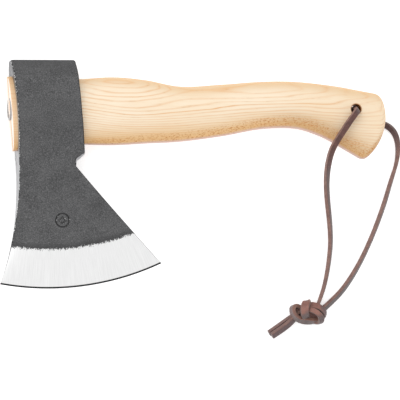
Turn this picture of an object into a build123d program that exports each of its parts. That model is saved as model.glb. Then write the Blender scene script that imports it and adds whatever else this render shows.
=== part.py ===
from build123d import *
import os
from math import cos, pi, radians, sin, sqrt, tan

# Small forged hatchet on a curved wooden haft, with a leather lace through the knob.
#
# Millimetres, +Z up. The hatchet lies flat on its side on the plane Z = 0.
# +X runs along the haft to the knob, +Y points to the poll, the cutting edge faces -Y.
# The origin is the bottom centre of the box round the head and the haft.

# ---------- driving dimensions ----------

EYE_THICKNESS = 27.0             # head over the eye, its thickest place
MID_Z = EYE_THICKNESS / 2        # plane of symmetry of head and haft

# axe head, seen from the side
POLL_Y = 71.1                    # striking face of the poll
POLL_X = (-115.5, -76.1)         # eye-top side and haft side of the poll
NECK_X, NECK_Y = -110.9, 10.0    # where the eye-top side turns into the blade
EYE_SIDE_DISH = 1.0              # hollow of the eye-top side at the eye
LUG_TIP = (-70.0, 11.4)          # pointed lug under the haft
LUG_HOLLOW = (-73.0, 8.3)        # on the small arc from the lug to the throat
THROAT = (-75.4, 4.6)            # inner corner between lug and beard
BEARD_MIDDLE = (-47.3, -26.6)    # on the slightly hollow line from throat to heel
TOE_SIDE_MIDDLE = (-113.2, -35.0)  # on the arc from toe to neck
EDGE_CENTRE = (-92.1, 100.2)     # centre of the cutting edge's arc
EDGE_RADIUS = 171.7
TOE_X, HEEL_X = -122.1, -20.0    # ends of the cutting edge
CORNER_RADIUS = 1.8              # poll corners, seen from the side

# axe head, thickness
POLL_HALF = 11.8                 # half thickness of the poll
POLL_SHOULDER_Y = 62.5           # the poll is that thick from here up
POLL_EDGE_RADIUS = 8.5           # rounded long edges of the poll
CHEEK_FLAT_Y = (46.0, 28.0)      # the cheeks are parallel between these
BEVEL_WIDTH = 24.3
BEVEL_HALF = 2.3                 # half thickness where the ground bevel begins
EDGE_HALF = 0.25                 # half thickness of the cutting edge
# half thickness of the blade at distances from the edge's centre
BLADE_HALF = ((88.0, 10.1), (104.0, 7.0), (118.0, 5.2))

# oval eye and the haft's tongue in it: (x, centre y, half height, half width)
EYE_TOP = (-118.0, 37.2, 23.7, 9.8)
EYE_BOTTOM = (-69.5, 38.9, 20.5, 9.0)
TONGUE_PROTRUSION = 2.3
TONGUE_REACH = 12.0              # the oval is made this much longer, then cut to the tongue's end

# haft outside the eye: (x, top y, bottom y, half thickness) of upright oval sections
GRIP = (
    (-50.0, 60.6, 18.1, 10.6),
    (-29.5, 58.9, 19.2, 10.9),
    (-9.0, 55.1, 20.3, 10.5),
    (18.8, 56.3, 23.9, 10.2),
    (46.9, 58.3, 28.7, 10.1),
    (66.0, 58.2, 28.6, 10.0),
)
# knob: leaning oval sections, each (top point, bottom point, half thickness)
KNOB = (
    ((82.3, 56.7), (77.8, 25.3), 10.0),
    ((94.0, 55.1), (86.0, 21.7), 10.0),
    ((105.6, 53.0), (95.5, 16.3), 10.0),
    ((129.0, 48.8), (117.0, 3.8), 9.8),
)
KNOB_END = ((118.0, 54.0), (121.9, 34.0), (109.5, 9.5))    # arc of the knob's end face
KNOB_END_RADIUS = 3.0

# wedges
WEDGE_DEPTH = 34.0
WEDGE_HALF_HEIGHT = 26.0         # more than the oval, which trims it
WEDGE_THICK, WEDGE_THIN = 4.2, 0.8
RING_Y = 40.5
RING_OUTER_RADIUS = 7.2
RING_WALL = 1.4
RING_TAPER = 0.6                 # loss of outer radius from the rim to the buried end
RING_LENGTH = 12.0
RING_PROUD = 0.5

# lanyard hole and lace
HOLE_X, HOLE_Y = 102.8, 40.8
HOLE_RADIUS = 3.0
LACE = 3.0                       # diameter of the plain tube that stands for the lace
FLOOR_Z = LACE / 2               # height of the lace's centre line where it lies

# route of the lace from the middle of the hole, over the haft's upper side, to the knot
FRONT_ROUTE = (
    (HOLE_X, HOLE_Y, MID_Z),
    (HOLE_X, HOLE_Y, 25.6),
    (101.2, 38.4, 28.6),
    (97.9, 33.3, 28.2),
    (93.7, 27.0, 27.6),
    (89.7, 20.8, 26.6),
    (87.0, 15.2, 23.6),
    (85.9, 8.6, 18.4),
    (85.8, 1.0, 12.2),
    (86.6, -7.2, 6.2),
    (87.8, -16.6, 2.6),
    (89.2, -28.5, FLOOR_Z),
    (89.9, -41.5, FLOOR_Z),
    (88.5, -54.5, FLOOR_Z),
    (86.4, -65.6, FLOOR_Z + 0.5),
    (84.0, -74.4, FLOOR_Z + 1.8),
    (81.1, -82.2, FLOOR_Z + 3.2),
)
# and under the knob, round its end and along the floor to the knot
REAR_ROUTE = (
    (HOLE_X, HOLE_Y, MID_Z),
    (HOLE_X, HOLE_Y, 4.8),
    (104.6, 40.0, 1.9),
    (109.4, 37.9, FLOOR_Z),
    (117.0, 34.6, FLOOR_Z),
    (126.2, 32.2, FLOOR_Z),
    (131.6, 27.2, FLOOR_Z),
    (133.6, 19.0, FLOOR_Z),
    (132.6, 8.6, FLOOR_Z),
    (128.3, -4.2, FLOOR_Z),
    (123.8, -19.0, FLOOR_Z),
    (117.2, -36.2, FLOOR_Z),
    (109.1, -53.6, FLOOR_Z),
    (99.6, -69.0, FLOOR_Z),
    (91.2, -78.2, FLOOR_Z + 0.6),
    (82.4, -85.6, FLOOR_Z + 1.4),
)

# knot and tails
KNOT_CENTRE = (75.4, -86.8)
KNOT_ANGLE = 22.0                # its long axis, from +X
KNOT_LENGTH, KNOT_WIDTH, KNOT_HEIGHT = 24.0, 14.5, 10.0
KNOT_ROUNDING = 4.2
TAIL_CENTRE = (65.4, -89.5)      # middle of the pair where it leaves the knot
TAIL_ANGLE = 35.5                # the pair's direction, from +X
TAIL_WIDTH, TAIL_HEIGHT = 2.9, 3.6
TAIL_GAP = 0.15
TAIL_START = 3.5                 # along the pair, inside the knot
TAIL_ENDS = (-18.4, -17.2)


def edge_y(x):
    """Height of the cutting edge's arc at x."""
    return EDGE_CENTRE[1] - sqrt(EDGE_RADIUS**2 - (x - EDGE_CENTRE[0]) ** 2)


def along_eye(x):
    """Centre y, half height and half width of the tapered eye at x."""
    share = (x - EYE_TOP[0]) / (EYE_BOTTOM[0] - EYE_TOP[0])
    return [top + share * (bottom - top) for top, bottom in zip(EYE_TOP[1:], EYE_BOTTOM[1:])]


def across(x, centre_y):
    """Plane across the haft at x, with its local x along +Y and its local y along +Z."""
    return Plane(origin=(x, centre_y, MID_Z), x_dir=(0, 1, 0), z_dir=(1, 0, 0))


def corner_radii(route):
    """One radius for each inner point of a route, as large as its two runs allow."""
    points = [Vector(*p) for p in route]
    radii = []
    for before, here, after in zip(points, points[1:], points[2:]):
        run = min((here - before).length, (after - here).length)
        half_turn = radians((here - before).get_angle(after - here)) / 2
        radii.append(0.45 * run / tan(half_turn))
    return radii


# ---------- shapes that several pieces share ----------

toe = (TOE_X, edge_y(TOE_X))
heel = (HEEL_X, edge_y(HEEL_X))
poll_left, poll_right = [(x, POLL_Y) for x in POLL_X]
neck = (NECK_X, NECK_Y)
eye_side_middle = ((POLL_X[0] + NECK_X) / 2 + EYE_SIDE_DISH, (POLL_Y + NECK_Y) / 2)
bevel_radius = EDGE_RADIUS - BEVEL_WIDTH
cheek_start, cheek_end = CHEEK_FLAT_Y
eye_radius = EDGE_CENTRE[1] - cheek_end
below_edge = EDGE_CENTRE[1] - EDGE_RADIUS - 1

# the tapered oval of the eye, longer than the head is wide
with BuildPart() as eye:
    for x in (EYE_TOP[0] - TONGUE_REACH, EYE_BOTTOM[0]):
        centre_y, half_height, half_width = along_eye(x)
        with BuildSketch(across(x, centre_y)):
            Ellipse(half_height, half_width)
    loft(ruled=True)

# everything on the haft's side of the tongue's end, which is cut parallel to the eye side
tongue_lean = (NECK_X - POLL_X[0]) / (POLL_Y - NECK_Y)
tongue_end = [(neck[0] - TONGUE_PROTRUSION - (y - NECK_Y) * tongue_lean, y) for y in (POLL_Y, 0)]
with BuildPart() as haft_side:
    with BuildSketch():
        with BuildLine():
            Polyline(*tongue_end, (EYE_BOTTOM[0], 0), (EYE_BOTTOM[0], POLL_Y), close=True)
        make_face()
    extrude(amount=EYE_THICKNESS)

# ---------- axe head ----------

# thickness of cheeks, blade and bevel: a disc about the centre of the cutting edge
with BuildPart() as blade_disc:
    with BuildSketch(Plane(origin=(*EDGE_CENTRE, MID_Z), x_dir=(1, 0, 0), z_dir=(0, -1, 0))):
        with BuildLine():
            Polyline((eye_radius, MID_Z), (0, MID_Z), (0, 0), (EDGE_RADIUS, 0),
                     (EDGE_RADIUS, EDGE_HALF), (bevel_radius, BEVEL_HALF))
            Spline((eye_radius, MID_Z), *BLADE_HALF, (bevel_radius, BEVEL_HALF),
                   tangents=[(1, 0), (1, -BEVEL_HALF / BEVEL_WIDTH)])
        make_face()
    revolve(axis=Axis((*EDGE_CENTRE, 0), (0, 0, 1)))
    mirror(about=Plane.XY.offset(MID_Z))

# thickness of the poll, with its rounded long edges
with BuildPart() as poll_block:
    with BuildSketch(across(TOE_X, 0)) as poll_section:
        with BuildLine():
            Polyline((below_edge, 0), (below_edge, MID_Z), (cheek_start, MID_Z),
                     (POLL_SHOULDER_Y, POLL_HALF), (POLL_Y, POLL_HALF), (POLL_Y, 0))
            mirror(about=Plane.XZ)
        make_face()
        fillet(poll_section.vertices().group_by(Axis.X)[-1], POLL_EDGE_RADIUS)
    extrude(amount=HEEL_X - TOE_X)

with BuildPart() as axe_head:
    with BuildSketch() as outline:
        with BuildLine():
            Line(poll_left, poll_right)
            Line(poll_right, LUG_TIP)
            ThreePointArc(LUG_TIP, LUG_HOLLOW, THROAT)
            ThreePointArc(THROAT, BEARD_MIDDLE, heel)
            ThreePointArc(heel, (EDGE_CENTRE[0], EDGE_CENTRE[1] - EDGE_RADIUS), toe)
            ThreePointArc(toe, TOE_SIDE_MIDDLE, neck)
            ThreePointArc(neck, eye_side_middle, poll_left)
        make_face()
        fillet(outline.vertices().group_by(Axis.Y)[-1], CORNER_RADIUS)
    extrude(amount=EYE_THICKNESS)
    add(blade_disc.part, mode=Mode.INTERSECT)
    add(poll_block.part, mode=Mode.INTERSECT)
    add(eye.part, mode=Mode.SUBTRACT)

# ---------- wedges ----------

ring_x = tongue_end[0][0] + (POLL_Y - RING_Y) * tongue_lean - RING_PROUD
with BuildPart() as ring_wedge:
    with BuildSketch(Plane(origin=(ring_x, RING_Y, MID_Z), x_dir=(1, 0, 0), z_dir=(0, 0, 1))):
        with BuildLine():
            Polyline((0, RING_OUTER_RADIUS), (0, RING_OUTER_RADIUS - RING_WALL),
                     (RING_LENGTH, RING_OUTER_RADIUS - RING_WALL),
                     (RING_LENGTH, RING_OUTER_RADIUS - RING_TAPER), close=True)
        make_face()
    revolve(axis=Axis((ring_x, RING_Y, MID_Z), (1, 0, 0)))

# the kerf in the tongue, which the wooden wedge fills
wedge_start = EYE_TOP[0]
wedge_point = wedge_start + WEDGE_DEPTH
with BuildPart() as kerf:
    with BuildSketch(Plane(origin=(0, EYE_TOP[1] + WEDGE_HALF_HEIGHT, MID_Z), x_dir=(1, 0, 0),
                           z_dir=(0, -1, 0))):
        with BuildLine():
            Polyline((wedge_start, WEDGE_THICK / 2), (wedge_start, -WEDGE_THICK / 2),
                     (wedge_point, -WEDGE_THIN / 2), (wedge_point, WEDGE_THIN / 2), close=True)
        make_face()
    extrude(amount=2 * WEDGE_HALF_HEIGHT)
    add(eye.part, mode=Mode.INTERSECT)
    add(haft_side.part, mode=Mode.INTERSECT)

with BuildPart() as wooden_wedge:
    add(kerf.part)
    add(ring_wedge.part, mode=Mode.SUBTRACT)

# ---------- haft ----------

with BuildPart() as tongue:
    add(eye.part)
    add(haft_side.part, mode=Mode.INTERSECT)

with BuildPart() as haft:
    with BuildSketch(across(EYE_BOTTOM[0], EYE_BOTTOM[1])):
        Ellipse(*EYE_BOTTOM[2:])
    for x, top, bottom, half_thickness in GRIP:
        with BuildSketch(across(x, (top + bottom) / 2)):
            Ellipse((top - bottom) / 2, half_thickness)
    for top, bottom, half_thickness in KNOB:
        upwards = Vector(*top) - Vector(*bottom)
        middle = (Vector(*top) + Vector(*bottom)) / 2
        with BuildSketch(Plane(origin=(middle.X, middle.Y, MID_Z), x_dir=upwards,
                               z_dir=upwards.rotate(Axis.Z, -90))):
            Ellipse(upwards.length / 2, half_thickness)
    loft()
    with BuildSketch():
        with BuildLine():
            ThreePointArc(*KNOB_END)
            Polyline(KNOB_END[-1], (EYE_BOTTOM[0], 0), (EYE_BOTTOM[0], POLL_Y), KNOB_END[0])
        make_face()
    extrude(amount=EYE_THICKNESS, mode=Mode.INTERSECT)
    fillet(haft.faces().sort_by(Axis.X)[-1].edges(), KNOB_END_RADIUS)
    with BuildSketch():
        with Locations((HOLE_X, HOLE_Y)):
            Circle(HOLE_RADIUS)
    extrude(amount=EYE_THICKNESS, mode=Mode.SUBTRACT)
    add(tongue.part)
    add(kerf.part, mode=Mode.SUBTRACT)
    add(ring_wedge.part, mode=Mode.SUBTRACT)

# ---------- leather lanyard ----------

knot_plane, tail_plane = [
    Plane(origin=(*centre, 0), x_dir=(cos(radians(turn)), sin(radians(turn)), 0), z_dir=(0, 0, 1))
    for centre, turn in ((KNOT_CENTRE, KNOT_ANGLE), (TAIL_CENTRE, TAIL_ANGLE))]

with BuildPart() as lanyard_knot:
    with BuildSketch(knot_plane):
        Ellipse(KNOT_LENGTH / 2, KNOT_WIDTH / 2)
    extrude(amount=KNOT_HEIGHT)
    fillet(lanyard_knot.faces().filter_by(GeomType.PLANE).edges(), KNOT_ROUNDING)

with BuildPart() as lanyard_tails:
    for side, end in zip((-1, 1), TAIL_ENDS):
        across_axis = side * (TAIL_WIDTH + TAIL_GAP) / 2
        with BuildSketch(tail_plane):
            with Locations(((TAIL_START + end) / 2, across_axis)):
                Rectangle(TAIL_START - end, TAIL_WIDTH)
        extrude(amount=TAIL_HEIGHT)
    add(lanyard_knot.part, mode=Mode.SUBTRACT)

strands = {}
for name, route in (("lanyard_front_strand", FRONT_ROUTE), ("lanyard_rear_strand", REAR_ROUTE)):
    radii = corner_radii(route)
    with BuildPart() as strand:
        with BuildLine() as centre_line:
            FilletPolyline(*route, radius=radii)
        with BuildSketch(Plane(origin=route[0], z_dir=Vector(*route[1]) - Vector(*route[0]))):
            Circle(LACE / 2)
        sweep(path=centre_line.wire())
        whole = strand.part.volume
        add(lanyard_knot.part, mode=Mode.SUBTRACT)
    strands[name] = strand
    length = centre_line.wire().length
    print(name, "length", round(length, 1), "volume", round(whole, 1),
          "section x length", round(pi * LACE**2 / 4 * length, 1))
    print("  arc radii", [round(r, 1) for r in radii])

# ---------- write the pieces ----------

pieces = {
    "axe_head": axe_head,
    "haft": haft,
    "wooden_wedge": wooden_wedge,
    "ring_wedge": ring_wedge,
    "lanyard_knot": lanyard_knot,
    "lanyard_tails": lanyard_tails,
    **strands,
}
os.makedirs("parts", exist_ok=True)
for name, piece in pieces.items():
    piece.part.label = name
    export_step(piece.part, f"parts/{name}.step")
    print(name, "volume", round(piece.part.volume), "box", piece.part.bounding_box())
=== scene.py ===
from math import atan2, ceil, cos, hypot, pi, radians, sin

import bmesh
import bpy
import numpy as np
from mathutils import Matrix, Quaternion, Vector, noise
from mathutils.geometry import delaunay_2d_cdt


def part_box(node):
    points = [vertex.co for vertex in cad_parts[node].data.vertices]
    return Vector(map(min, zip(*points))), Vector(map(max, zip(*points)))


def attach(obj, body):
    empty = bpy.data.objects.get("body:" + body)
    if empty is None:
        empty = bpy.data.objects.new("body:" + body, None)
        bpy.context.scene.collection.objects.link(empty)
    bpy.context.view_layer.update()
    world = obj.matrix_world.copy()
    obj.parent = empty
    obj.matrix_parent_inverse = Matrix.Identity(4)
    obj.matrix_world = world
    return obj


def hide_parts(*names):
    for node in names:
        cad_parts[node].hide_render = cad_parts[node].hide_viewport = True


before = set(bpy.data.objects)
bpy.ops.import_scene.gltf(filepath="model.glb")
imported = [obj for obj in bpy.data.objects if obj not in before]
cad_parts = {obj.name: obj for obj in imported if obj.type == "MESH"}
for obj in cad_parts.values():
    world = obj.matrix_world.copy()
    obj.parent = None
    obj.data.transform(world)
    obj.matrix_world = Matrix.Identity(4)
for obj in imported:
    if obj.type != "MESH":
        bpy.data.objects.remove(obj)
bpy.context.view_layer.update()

# Small forged hatchet with a curved ash haft and a leather lace, lying flat on its side.
# Metres, in the CAD model's frame: +X to the knob, +Y to the poll, +Z up, floor at Z = 0.

# --- axe head ---

MID_Z = 0.0135  # plane of symmetry of head and haft
POLL_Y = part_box("axe_head")[1].y
POLL_X = (-0.1152, -0.0743)  # eye-top side and haft side of the poll
NECK = (-0.1109, 0.01)  # where the eye-top side turns into the blade
EYE_SIDE_MIDDLE = (-0.1122, 0.04055)
LUG_TIP = (-0.0693, 0.0117)
LUG_UNDERSIDE = (-0.0713, 0.0096)
LUG_HOLLOW = (-0.0733, 0.0082)
ABOVE_THROAT = (-0.0743, 0.0066)
THROAT = (-0.0749, 0.0046)
BEARD_MIDDLE = (-0.047, -0.0264)
TOE_SIDE_MIDDLE = (-0.1132, -0.035)
EDGE_CENTRE = (-0.0921, 0.1002)  # centre of the cutting edge's arc
EDGE_RADIUS = 0.1717
TOE_X, HEEL_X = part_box("axe_head")[0].x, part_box("axe_head")[1].x
CORNER_RADIUS = 0.0013
LUG_STEEPNESS = 2.6  # how much deeper than wide the rounding under the lug is

CHEEK_HALF = 0.0135
POLL_HALF = 0.0118
POLL_TAPER_Y = (0.046, 0.0625)  # the cheeks close in towards the poll between these
POLL_EDGE = (0.011, 0.009)  # rounding of its long edges: along Y and through its thickness
BEVEL_RADIUS = 0.1474  # where the ground bevel begins, from the edge's centre
EDGE_LAND = 0.001  # width of the honed land at the very edge
# half thickness of the blade at distances from the edge's centre
BLADE_RADII = (0.06, 0.0722, 0.088, 0.104, 0.118, BEVEL_RADIUS)
BLADE_HALF = (CHEEK_HALF, CHEEK_HALF, 0.0101, 0.007, 0.0052, 0.0023)
EDGE_HALF = 0.0003  # half thickness where the honed land begins
TOE_SIDE_Y = (-0.015, -0.045)  # the blade thins to its toe side between these
TOE_SIDE_THINNING = 0.72
TOE_SIDE_WIDTH = 0.006
FORGING_DEPTH = 0.00016  # depth of the hammered unevenness
FORGING_SCALES = ((70, 0.5), (420, 0.16))  # (bumps per metre, strength) of its two sizes
SEED = 4  # where in the noise the unevenness is taken from
GROUND_ROUNDING = 0.0013  # edges rounded by more than this are bare ground metal
MARK_CENTRE = (-0.083, -0.029)  # plain touch mark: a ring with a diamond in it
MARK_RADIUS = 0.0042
MARK_DIAMOND = 0.0021
MARK_DEPTH = 0.0005
MARK_LINE = (0.00012, 0.00048)  # half width of its lines at the bottom and at the top
OUTLINE_STEP = 0.0009  # spacing of the points on the head's outline
CHEEK_SPACING = 0.0011  # spacing of the points on the cheeks
MARK_SPACING, MARK_REACH = 0.00024, 0.005  # finer spacing within this distance of the mark
ROW_HEIGHT = 0.866  # height of a row of even triangles, by their side
LEAST_ROUNDING = 0.0005
WALL_ROWS = 8

# --- haft ---

# tapered oval of the eye: (x, centre y, half height, half width)
EYE_TOP = (-0.118, 0.0372, 0.0237, 0.0098)
EYE_BOTTOM = (-0.0695, 0.0389, 0.0205, 0.009)
TONGUE_PROTRUSION = 0.0023
TONGUE_CHAMFER = 0.0006
TONGUE_CLEARANCE = 0.00004
# the tongue's end leans as the head's eye-top side does
TONGUE_LEAN = (NECK[0] - POLL_X[0]) / (POLL_Y - NECK[1])
CUTTER_OVERSHOOT = (0.012, 0.006)  # how far the eye's cutter runs past its top and bottom
OVAL_POINTS = 96  # points around the eye and the haft
HOLE_POINTS = 64
# oval sections beyond the eye: (top point, bottom point, half thickness)
SECTIONS = (
    ((-0.0695, 0.0594), (-0.0695, 0.0184), 0.009),
    ((-0.05, 0.0606), (-0.05, 0.0181), 0.0106),
    ((-0.0295, 0.0589), (-0.0295, 0.0192), 0.0109),
    ((-0.009, 0.0551), (-0.009, 0.0203), 0.0105),
    ((0.0188, 0.0563), (0.0188, 0.0239), 0.0102),
    ((0.0469, 0.0583), (0.0469, 0.0287), 0.0101),
    ((0.066, 0.0582), (0.066, 0.0286), 0.01),
    ((0.0823, 0.0567), (0.0778, 0.0253), 0.01),
    ((0.094, 0.0551), (0.086, 0.0217), 0.01),
    ((0.1056, 0.053), (0.0955, 0.0163), 0.01),
    ((0.129, 0.0488), (0.117, 0.0038), 0.0098),
)
# three points on the knob's rounded end, seen from above
KNOB_END = ((0.118, 0.054), (0.1219, 0.034), (0.1095, 0.0095))
KNOB_ROUNDING = 0.003
HOLE = (0.1028, 0.0408)
HOLE_RADIUS = 0.003
# (height from the haft's middle, radius): the hole flares at its rims
HOLE_PROFILE = ((0.008, HOLE_RADIUS), (0.0092, 0.0032), (0.0104, 0.004), (0.014, 0.0075))
HAFT_ENDS, CENTIMETRE = (-0.122, 0.122), 0.01
# how far the grain follows the haft's bend: (share of its length, centimetres up)
HAFT_BEND = ((0.0, 0.1), (0.22, 0.1), (0.35, 0.0), (0.46, 0.1), (0.62, 0.3), (0.8, 0.44),
             (0.9, 0.42), (1.0, 0.36))

WEDGE_START, WEDGE_DEPTH = -0.118, 0.034
WEDGE_THICK, WEDGE_THIN = 0.0042, 0.0008
WEDGE_PROUD = 0.0003
KERF_OVERSHOOT = 0.002  # how far the kerf's cutter runs past the tongue
RING_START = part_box("ring_wedge")[0].x
RING_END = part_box("ring_wedge")[1].x
RING_Y = 0.0405
RING_RADIUS, RING_WALL, RING_TAPER = 0.0072, 0.0014, 0.0006
RING_LIP, RING_FOOT = 0.00025, 0.0004  # its chamfer outside, and its wall at the deep end
RING_CLEARANCE = 0.00002
RING_POINTS = 72

# --- lace ---

LACE_WIDTH, LACE_THICK = 0.0037, 0.0024
LACE_ROUNDING = 0.00035
LACE_UNEVENNESS = 0.045  # share by which its width wavers
FRONT_ROUTE = (
    (0.1028, 0.0408, 0.0135), (0.1034, 0.0405, 0.0252), (0.1018, 0.0384, 0.0284),
    (0.0979, 0.0333, 0.0282), (0.0937, 0.027, 0.0276), (0.0897, 0.0208, 0.0266),
    (0.087, 0.0152, 0.0236), (0.0859, 0.0086, 0.0184), (0.0858, 0.001, 0.0122),
    (0.0866, -0.0072, 0.0062), (0.0878, -0.0166, 0.0028), (0.0892, -0.0285, 0.0022),
    (0.0899, -0.0415, 0.0021), (0.0885, -0.0545, 0.0021), (0.0864, -0.0656, 0.0024),
    (0.0837, -0.0744, 0.0034), (0.0804, -0.0822, 0.0047),
)
REAR_ROUTE = (
    (0.1028, 0.0408, 0.0135), (0.1028, 0.0408, 0.0048), (0.1046, 0.04, 0.0021),
    (0.1094, 0.0379, 0.0017), (0.117, 0.0346, 0.0017), (0.1262, 0.0322, 0.0019),
    (0.1316, 0.0272, 0.0021), (0.1336, 0.019, 0.0021), (0.1326, 0.0086, 0.002),
    (0.1283, -0.0042, 0.002), (0.1238, -0.019, 0.002), (0.1172, -0.0362, 0.002),
    (0.1091, -0.0536, 0.002), (0.0996, -0.069, 0.002), (0.0912, -0.0782, 0.0022),
    (0.0824, -0.0856, 0.0029),
)
# turn of the lace's flat side about its own line, in degrees, at shares of its length
FRONT_ROLL = ((0.0, 4), (0.22, 4), (0.34, -14), (0.46, -42), (0.6, -55), (0.8, -68), (1.0, -82))
REAR_ROLL = ((0.0, 0), (0.16, 8), (0.27, 70), (0.42, 106), (0.72, 114), (1.0, 136))

# knot: control points along its axis, across it and up, from its centre on the floor
KNOT_CENTRE = (0.074, -0.0868)
KNOT_ANGLE = 22.0  # its long axis, in degrees from +X
# height of the line that the flat sides face away from, and its rise towards the tails
KNOT_CORE = (0.0016, 0.003)
# how the lace swells as it is pulled round the knot: (share of its length, scale)
KNOT_FRONT_SIZES = ((0.0, 1.12), (1.0, 1.12))
KNOT_REAR_SIZES = ((0.0, 1.1), (0.12, 1.2), (0.22, 1.42), (0.32, 1.3), (0.42, 1.06), (1.0, 1.06))
TAIL_LEAN = 50.0  # degrees between the tails' flat sides and upright
KNOT_FRONT_LACE = (
    (0.0083, 0.0016, 0.0047), (0.004, 0.0016, 0.0034), (-0.0012, 0.0034, 0.0028),
    (-0.004, 0.0068, 0.0038), (-0.0072, 0.0076, 0.0056), (-0.0085, 0.005, 0.006),
    (-0.0083, 0.0019, 0.0059), (-0.0068, -0.001, 0.0057), (-0.0038, -0.0033, 0.0053),
    (-0.0004, -0.0049, 0.0046), (0.0026, -0.0058, 0.0034), (0.0056, -0.0064, 0.0024),
    (0.009, -0.006, 0.0026), (0.0104, -0.0036, 0.004), (0.0089, 0.0002, 0.006),
    (0.0056, 0.0032, 0.0062), (0.0026, 0.0044, 0.005), (0.0, 0.004, 0.0036),
    (-0.0036, 0.0026, 0.0028), (-0.007, 0.0009, 0.0027), (-0.01, 0.0, 0.0034),
    (-0.014, -0.0017, 0.0044), (-0.02, -0.0031, 0.0045), (-0.0262, -0.0043, 0.0045),
)
KNOT_REAR_LACE = (
    (0.0082, -0.002, 0.0029), (0.0036, -0.0014, 0.0024), (0.0016, 0.0024, 0.0024),
    (0.002, 0.0058, 0.0036), (0.0026, 0.0068, 0.006), (0.0006, 0.0058, 0.0084),
    (-0.0015, 0.0032, 0.009), (-0.0023, -0.0002, 0.008), (-0.0019, -0.0017, 0.005),
    (-0.0008, -0.0034, 0.0024), (0.002, -0.006, 0.0024), (0.0048, -0.008, 0.003),
    (0.0066, -0.0075, 0.0056), (0.0067, -0.0042, 0.0084), (0.0048, -0.0008, 0.0092),
    (0.0022, 0.0018, 0.0084), (-0.0006, 0.0032, 0.006), (-0.0036, 0.003, 0.0036),
    (-0.007, 0.0022, 0.0025), (-0.01, 0.0015, 0.0025), (-0.014, 0.0006, 0.0025),
    (-0.02, -0.0009, 0.0025), (-0.0269, -0.0024, 0.0025),
)
# turns inside the knot, which show only in its hollows
KNOT_INNER_LACES = (
    ((-0.0078, 0.005, 0.0026), (0.0, 0.0016, 0.004), (0.0074, -0.0024, 0.003)),
    ((-0.0054, -0.0002, 0.0024), (0.0008, -0.0018, 0.0036), (0.0066, -0.0052, 0.0024)),
)

# --- set ---

FLOOR_HALF = 3.0  # half the side of the floor
FLOOR_WHITE, FLOOR_GLOW = 0.9, 0.5
SKY_BRIGHT_WAY = (-0.22, 0.24, 0.92)  # the studio's light grows towards this direction
SKY_LEANS, SKY_STRENGTHS = (-0.6, 0.8), (0.55, 0.98)
SOFTBOX_PLACE, SOFTBOX_SIZE, SOFTBOX_WATTS = (-0.9, 0.7, 1.6), 1.4, 8

VIEW_SIDE, VIEW_BELOW = 10.0, 3.0  # degrees from straight above, to -X and to -Y
VIEW_ROLL = -0.41  # degrees that the camera is tilted about its own line
FRAME_WIDTH = 0.25  # what the picture holds at the object's height
FRAMING = (0.0047, -0.016)  # the picture's centre, to the right and up from the origin
LENS, SENSOR = 800.0, 36.0  # millimetres, as Blender has them


# --- numbers along curves ---

def smooth(at, knots, values):
    """Values, at the given places, of a smooth curve that goes through the knots."""
    at, knots, values = np.asarray(at), np.asarray(knots), np.asarray(values)
    slopes = np.gradient(values, knots, axis=0)
    i = np.clip(np.searchsorted(knots, at) - 1, 0, len(knots) - 2)
    width = knots[i + 1] - knots[i]
    t = np.clip((at - knots[i]) / width, 0, 1)
    if values.ndim > 1:
        t, width = t[..., None], width[..., None]
    start, end = values[i], values[i + 1]
    cubic = 2 * t**3 - 3 * t**2
    return ((1 + cubic) * start - cubic * end
            + (t**3 - 2 * t**2 + t) * width * slopes[i] + (t**3 - t**2) * width * slopes[i + 1])


def ease(value, start, end):
    """0 before start, 1 after end, and smooth between them."""
    t = np.clip((value - start) / (end - start), 0, 1)
    return t * t * (3 - 2 * t)


def line(start, end, step):
    """Points from start up to, but without, end."""
    count = max(1, ceil(hypot(end[0] - start[0], end[1] - start[1]) / step))
    share = np.arange(count)[:, None] / count
    return np.array(start) + share * (np.array(end) - np.array(start))


def circle_through(first, second, third):
    """Centre and radius of the circle through three points."""
    (ax, ay), (bx, by), (cx, cy) = first, second, third
    twice = 2 * (ax * (by - cy) + bx * (cy - ay) + cx * (ay - by))
    a, b, c = ax**2 + ay**2, bx**2 + by**2, cx**2 + cy**2
    centre = np.array([(a * (by - cy) + b * (cy - ay) + c * (ay - by)) / twice,
                       (a * (cx - bx) + b * (ax - cx) + c * (bx - ax)) / twice])
    return centre, hypot(ax - centre[0], ay - centre[1])


def arc(start, middle, end, step):
    """Points on the arc from start through middle up to, but without, end."""
    centre, radius = circle_through(start, middle, end)
    first, through, last = [atan2(p[1] - centre[1], p[0] - centre[0])
                            for p in (start, middle, end)]
    turn = (last - first) % (2 * pi)
    if (through - first) % (2 * pi) > turn:
        turn -= 2 * pi
    count = max(2, ceil(abs(turn) * radius / step))
    angles = first + turn * np.arange(count) / count
    return centre + radius * np.stack([np.cos(angles), np.sin(angles)], axis=1)


def corner(before, here, after):
    """The rounded corner's first point, its middle and its last point."""
    here = np.array(here)
    ways = [np.array(p) - here for p in (before, after)]
    ways = [way / np.linalg.norm(way) for way in ways]
    half = np.arccos(np.clip(ways[0] @ ways[1], -1, 1)) / 2
    middle_way = (ways[0] + ways[1]) / np.linalg.norm(ways[0] + ways[1])
    reach = CORNER_RADIUS / np.tan(half)
    middle = here + middle_way * (CORNER_RADIUS / np.sin(half) - CORNER_RADIUS)
    return here + ways[0] * reach, middle, here + ways[1] * reach


# --- meshes ---

SHARP_ANGLE = 38  # degrees


def mesh_object(name, points, faces, materials, face_materials=None):
    """A smooth-shaded object with its sharp edges marked."""
    mesh = bpy.data.meshes.new(name)
    mesh.from_pydata([tuple(p) for p in points], [], [tuple(f) for f in faces])
    for material in materials:
        mesh.materials.append(material)
    if face_materials is not None:
        mesh.polygons.foreach_set("material_index", face_materials)
    shade(mesh)
    thing = bpy.data.objects.new(name, mesh)
    bpy.context.scene.collection.objects.link(thing)
    return thing


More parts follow.
